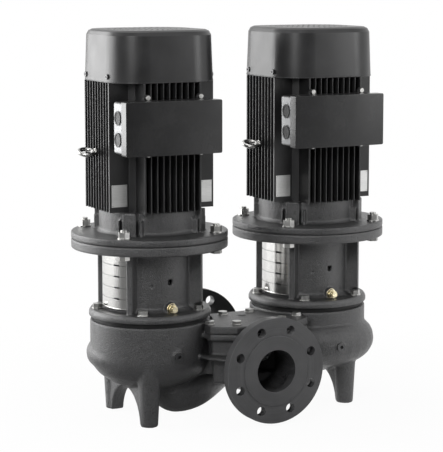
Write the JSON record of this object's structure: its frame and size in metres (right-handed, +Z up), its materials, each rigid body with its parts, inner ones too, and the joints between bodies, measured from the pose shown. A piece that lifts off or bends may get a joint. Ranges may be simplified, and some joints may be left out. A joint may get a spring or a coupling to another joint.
{
  "type": "twin in-line pump",
  "caption": "Twin in-line pump: one flanged housing with a flap valve, carrying two vertical motors on open stools with split couplings and curved guards.",
  "frame": {"origin": "on the floor under the feet, midway between the two port faces and between the two pumps", "axes": "+X from the left pump to the right one, -Y out of the outlet port, +Z up along the motor shafts"},
  "size_m": [0.638, 0.36, 0.735],
  "materials": {
    "casting": "sprayed black coat, grainy and matt",
    "motor_alloy": "black coat on die-cast alloy, semi-gloss",
    "motor_sheet": "black coat on sheet steel, semi-gloss",
    "zinc_bolts": "zinc plated",
    "stainless": "polished",
    "shaft_steel": "ground",
    "flap_metal": "bare casting with machined pads",
    "impeller_metal": "bare casting",
    "rotor_steel": "turned laminations",
    "winding": "varnished copper winding round a sheet steel core",
    "brass": "machined",
    "rubber": "soft sheen",
    "carbon": "lapped carbon",
    "fan_plastic": "moulded",
    "board": "moulded board with brass studs",
    "plug_plastic": "moulded",
    "blank_plate": "brushed and left blank",
    "small_dark": "blackened"
  },
  "bodies": {
    "pump_set": {"pump_housing": "casting", "valve_cover": "casting", "valve_cover_bolts": "zinc_bolts", "flap_pin": "shaft_steel", "housing_plugs": "small_dark", "wear_rings": "brass", "seal_seats": "carbon", "head_o_rings": "rubber", "vent_bodies": "brass", "head_bolts": "zinc_bolts", "flange_bolts": "zinc_bolts", "flange_nuts": "zinc_bolts", "nameplates": "blank_plate", "fan_cover_screws": "small_dark", "terminal_boards": "board", "terminal_screws": "zinc_bolts", "eye_bolts": "zinc_bolts", "blanking_plugs": "plug_plastic", "bearings": "shaft_steel", "left_head_cover": "casting", "left_motor_stool": "casting", "left_coupling_guards": "stainless", "left_end_shield": "casting", "left_stator_frame": "motor_alloy", "left_stator": "winding", "left_upper_shield": "motor_alloy", "left_fan_cover": "motor_sheet", "left_terminal_box": "motor_alloy", "left_terminal_lid": "motor_alloy", "right_head_cover": "casting", "right_motor_stool": "casting", "right_coupling_guards": "stainless", "right_end_shield": "casting", "right_stator_frame": "motor_alloy", "right_stator": "winding", "right_upper_shield": "motor_alloy", "right_fan_cover": "motor_sheet", "right_terminal_box": "motor_alloy", "right_terminal_lid": "motor_alloy"},
    "left_rotor": {"left_motor_shaft": "shaft_steel", "left_rotor_core": "rotor_steel", "left_fan": "fan_plastic", "left_coupling": "casting", "left_coupling_screws": "small_dark", "left_pump_shaft": "stainless", "left_impeller": "impeller_metal", "left_impeller_nut": "stainless", "left_seal_head": "stainless"},
    "right_rotor": {"right_motor_shaft": "shaft_steel", "right_rotor_core": "rotor_steel", "right_fan": "fan_plastic", "right_coupling": "casting", "right_coupling_screws": "small_dark", "right_pump_shaft": "stainless", "right_impeller": "impeller_metal", "right_impeller_nut": "stainless", "right_seal_head": "stainless"},
    "flap": {"flap": "flap_metal"},
    "left_vent": {"left_vent_screw": "brass"},
    "right_vent": {"right_vent_screw": "brass"}
  },
  "joints": [
    {"name": "left_spin", "type": "hinge", "parent": "pump_set", "child": "left_rotor", "pos_m": [-0.171, 0.01, 0.3], "axis": [0, 0, 1], "continuous": true},
    {"name": "right_spin", "type": "hinge", "parent": "pump_set", "child": "right_rotor", "pos_m": [0.171, 0.01, 0.3], "axis": [0, 0, 1], "continuous": true},
    {"name": "flap_swing", "type": "hinge", "parent": "pump_set", "child": "flap", "pos_m": [0, -0.038, 0.122], "axis": [0, 0, 1], "range_deg": [-35, 35]},
    {"name": "left_vent_turn", "type": "hinge", "parent": "pump_set", "child": "left_vent", "pos_m": [-0.16629, -0.07988, 0.2196], "axis": [0.0523, -0.9986, 0], "range_deg": [0, 180]},
    {"name": "right_vent_turn", "type": "hinge", "parent": "pump_set", "child": "right_vent", "pos_m": [0.17571, -0.07988, 0.2196], "axis": [0.0523, -0.9986, 0], "range_deg": [0, 180]}
  ]
}
